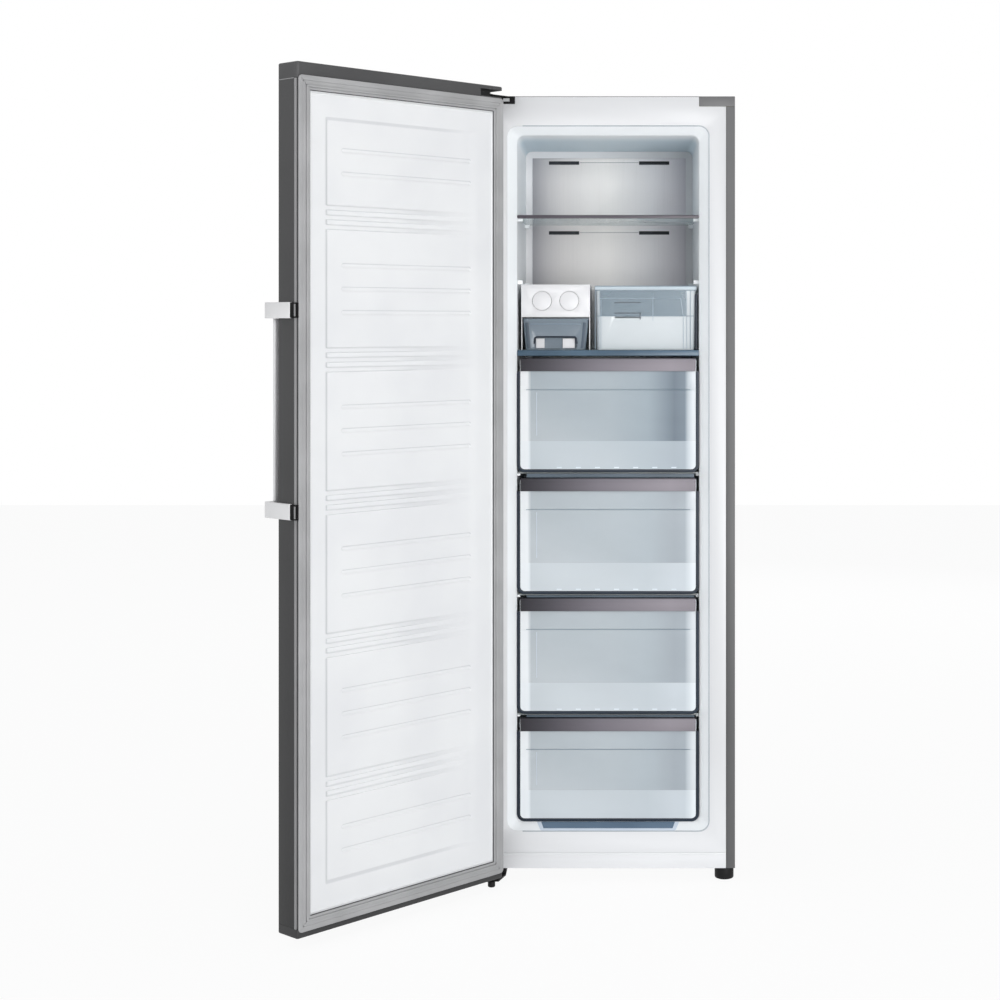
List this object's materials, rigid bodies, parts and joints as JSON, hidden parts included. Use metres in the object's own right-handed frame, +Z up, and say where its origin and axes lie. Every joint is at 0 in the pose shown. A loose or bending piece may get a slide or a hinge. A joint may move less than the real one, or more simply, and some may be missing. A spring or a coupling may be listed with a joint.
{
  "type": "upright freezer",
  "caption": "Tall upright freezer with its single door open on a left hinge, clear drawers, glass shelves and a twist-tray ice maker.",
  "frame": {"origin": "floor point under the centre of the bounding box, door open as drawn", "axes": "+Z up, +Y towards the freezer's back, so the cabinet's front looks along -Y; +X to the right when facing the front"},
  "size_m": [1.022, 1.0726, 1.854],
  "materials": {
    "cabinet_paint": "satin grey powder coat",
    "door_paint": "satin dark grey powder coat",
    "zinc_steel": "dull zinc-coated sheet",
    "white_plastic": "smooth moulded white",
    "dark_plastic": "fine-textured dark grey",
    "black_plastic": "moulded black",
    "black_metal": "black paint on pressed steel",
    "brushed_steel": "fine vertical brushing",
    "satin_silver": "satin silver",
    "foam": null,
    "gasket_rubber": "soft grey moulding",
    "clear_blue": "clear moulding with a blue-grey cast",
    "shelf_glass": "clear safety glass",
    "navy_trim": "dark blue strip",
    "coil_aluminium": "plain aluminium tube and fins",
    "copper": "bare copper"
  },
  "bodies": {
    "cabinet": {"outer_wrapper": "cabinet_paint", "corner_cap": "dark_plastic", "rear_panel": "zinc_steel", "base_panel": "zinc_steel", "front_rail": "white_plastic", "inner_liner": "white_plastic", "insulation_foam": "foam", "evaporator_cover": "brushed_steel", "evaporator_duct": "white_plastic", "evaporator_coil": "coil_aluminium", "drain_pan": "white_plastic", "fan_motor": "black_plastic", "compressor_rail": "zinc_steel", "compressor": "black_metal", "drip_tray": "black_plastic", "filter_drier": "copper", "rear_cover": "door_paint", "cord_gland": "black_plastic", "hinge_bracket_lower": "black_metal", "hinge_pin_lower": "zinc_steel", "hinge_bracket_upper": "black_metal", "hinge_pin_upper": "zinc_steel", "mid_shelf_glass": "shelf_glass", "mid_shelf_trim": "navy_trim", "drawer_shelf_1_glass": "shelf_glass", "drawer_shelf_2_glass": "shelf_glass", "drawer_shelf_3_glass": "shelf_glass", "ice_maker_housing": "white_plastic"},
    "door": {"door_skin": "door_paint", "door_foam": "foam", "door_liner": "white_plastic", "door_gasket": "gasket_rubber", "door_cap_top": "dark_plastic", "door_cap_bottom": "dark_plastic", "handle_bar": "satin_silver", "handle_bracket_lower": "satin_silver", "handle_bracket_upper": "satin_silver", "handle_pad_lower": "black_plastic", "handle_pad_upper": "black_plastic"},
    "drawer_1": {"drawer_1_tub": "clear_blue", "drawer_1_trim": "brushed_steel"},
    "drawer_2": {"drawer_2_tub": "clear_blue", "drawer_2_trim": "brushed_steel"},
    "drawer_3": {"drawer_3_tub": "clear_blue", "drawer_3_trim": "brushed_steel"},
    "drawer_4": {"drawer_4_tub": "clear_blue", "drawer_4_trim": "brushed_steel"},
    "small_drawer": {"small_drawer": "clear_blue"},
    "ice_bin": {"ice_bin": "clear_blue"},
    "top_shelf": {"top_shelf_glass": "shelf_glass", "top_shelf_trim": "shelf_glass"},
    "ice_tray_left": {"ice_tray_left": "clear_blue", "ice_knob_left": "white_plastic"},
    "ice_tray_right": {"ice_tray_right": "clear_blue", "ice_knob_right": "white_plastic"},
    "fan": {"fan_blade": "white_plastic"},
    "roller_left": {"roller_left": "black_plastic"},
    "roller_right": {"roller_right": "black_plastic"},
    "foot_hinge_side": {"foot_hinge_side": "black_plastic"},
    "foot_right": {"foot_right": "black_plastic"}
  },
  "joints": [
    {"name": "door_hinge", "type": "hinge", "parent": "cabinet", "child": "door", "pos_m": [-0.06552, -0.08324, 0.022], "axis": [0, 0, -1], "range_deg": [-132.5, 0]},
    {"name": "drawer_1_slide", "type": "slide", "parent": "cabinet", "child": "drawer_1", "axis": [0, -1, 0], "range_m": [0, 0.34]},
    {"name": "drawer_2_slide", "type": "slide", "parent": "cabinet", "child": "drawer_2", "axis": [0, -1, 0], "range_m": [0, 0.34]},
    {"name": "drawer_3_slide", "type": "slide", "parent": "cabinet", "child": "drawer_3", "axis": [0, -1, 0], "range_m": [0, 0.34]},
    {"name": "drawer_4_slide", "type": "slide", "parent": "cabinet", "child": "drawer_4", "axis": [0, -1, 0], "range_m": [0, 0.22]},
    {"name": "small_drawer_slide", "type": "slide", "parent": "cabinet", "child": "small_drawer", "axis": [0, -1, 0], "range_m": [0, 0.31]},
    {"name": "ice_bin_slide", "type": "slide", "parent": "cabinet", "child": "ice_bin", "axis": [0, -1, 0], "range_m": [0, 0.28]},
    {"name": "top_shelf_slide", "type": "slide", "parent": "cabinet", "child": "top_shelf", "axis": [0, -1, 0], "range_m": [0, 0.3]},
    {"name": "ice_tray_left_twist", "type": "hinge", "parent": "cabinet", "child": "ice_tray_left", "pos_m": [0.05688, 0.00127, 1.3595], "axis": [0, 1, 0], "range_deg": [0, 150], "stiffness_Nm_per_rad": 0.2},
    {"name": "ice_tray_right_twist", "type": "hinge", "parent": "cabinet", "child": "ice_tray_right", "pos_m": [0.12148, 0.00127, 1.3595], "axis": [0, 1, 0], "range_deg": [0, 150], "stiffness_Nm_per_rad": 0.2},
    {"name": "fan_spin", "type": "hinge", "parent": "cabinet", "child": "fan", "pos_m": [0.21348, 0.42127, 0.93], "axis": [0, 1, 0], "continuous": true},
    {"name": "roller_left_spin", "type": "hinge", "parent": "cabinet", "child": "roller_left", "pos_m": [-0.03602, 0.49127, 0.014], "axis": [1, 0, 0], "continuous": true},
    {"name": "roller_right_spin", "type": "hinge", "parent": "cabinet", "child": "roller_right", "pos_m": [0.46298, 0.49127, 0.014], "axis": [1, 0, 0], "continuous": true},
    {"name": "foot_hinge_side_turn", "type": "hinge", "parent": "cabinet", "child": "foot_hinge_side", "pos_m": [-0.05632, -0.08823, 0], "axis": [0, 0, 1], "continuous": true},
    {"name": "foot_right_turn", "type": "hinge", "parent": "cabinet", "child": "foot_right", "pos_m": [0.48708, -0.01374, 0], "axis": [0, 0, 1], "continuous": true}
  ]
}
